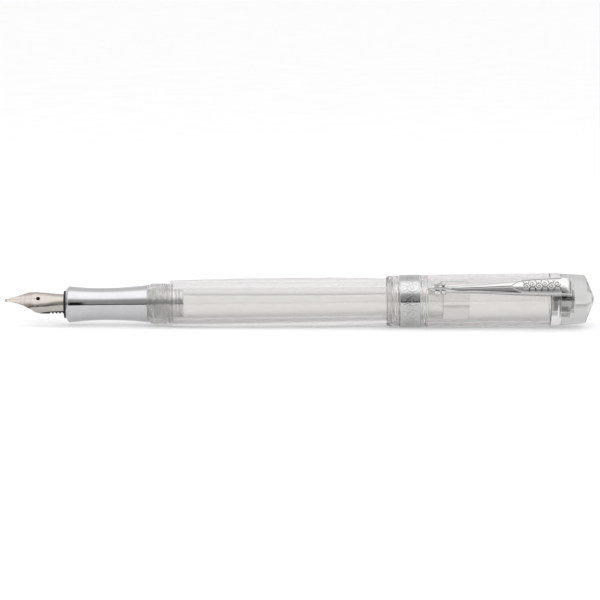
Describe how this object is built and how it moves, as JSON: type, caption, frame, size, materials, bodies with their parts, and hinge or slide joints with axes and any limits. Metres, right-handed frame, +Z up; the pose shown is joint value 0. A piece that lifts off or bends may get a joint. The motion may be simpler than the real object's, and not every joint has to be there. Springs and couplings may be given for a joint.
{
  "type": "fountain pen",
  "caption": "Clear-bodied fountain pen with a polished metal grip, its clear cap with band and spring clip posted on the back of the barrel.",
  "frame": {"origin": "on the pen's axis, at the middle of the barrel's straight belly", "axes": "+X along the pen from the nib to the finial of the posted cap, +Z up with the pen lying as it rests; the nib and the clip face up and towards -Y"},
  "size_m": [0.158, 0.0162, 0.0142],
  "materials": {
    "clear_plastic": "clear polished acrylic",
    "clear_seal": "clear soft plastic",
    "chrome": "polished chrome plate",
    "engraved_chrome": "chrome plate with fine engraving",
    "plated_brass": "machined and plated",
    "steel": "plain machined steel",
    "nib_steel": "polished steel with a faint warm tone",
    "tipping": "ground hard metal",
    "black_plastic": "moulded black plastic"
  },
  "bodies": {
    "barrel": {"barrel": "clear_plastic"},
    "seal": {"seal_ring": "clear_seal"},
    "grip": {"section_shell": "chrome", "section_tail": "plated_brass", "section_liner": "black_plastic", "nib_housing": "black_plastic"},
    "nib_unit": {"nib": "nib_steel", "nib_tipping": "tipping", "feed": "black_plastic"},
    "cap": {"cap_tube": "clear_plastic", "cap_band": "engraved_chrome", "clip_foot": "plated_brass", "clip_bush": "plated_brass", "clip_nut": "steel", "clip_screw": "steel", "finial": "clear_plastic", "finial_jewel": "chrome"},
    "clip": {"clip": "engraved_chrome"}
  },
  "joints": [
    {"name": "section_travel", "type": "slide", "parent": "barrel", "child": "seal", "axis": [-1, 0, 0], "range_m": [0, 0.006]},
    {"name": "section_turn", "type": "hinge", "parent": "seal", "child": "grip", "pos_m": [-0.0367, 0, 0], "axis": [-1, 0, 0], "range_deg": [0, 3600]},
    {"name": "nib_pull", "type": "slide", "parent": "grip", "child": "nib_unit", "axis": [-1, 0, 0], "range_m": [0, 0.0085]},
    {"name": "cap_pull", "type": "slide", "parent": "barrel", "child": "cap", "axis": [1, 0, 0], "range_m": [0, 0.03]},
    {"name": "clip_lift", "type": "hinge", "parent": "cap", "child": "clip", "pos_m": [0.0757, -0.00503, 0.00327], "axis": [0, 0.5446, 0.8387], "range_deg": [0, 4], "stiffness_Nm_per_rad": 1, "springref_deg": -2.29}
  ],
  "couplings": [
    {"joint": "section_turn", "follows": "section_travel", "rad_per_m": 10472}
  ]
}
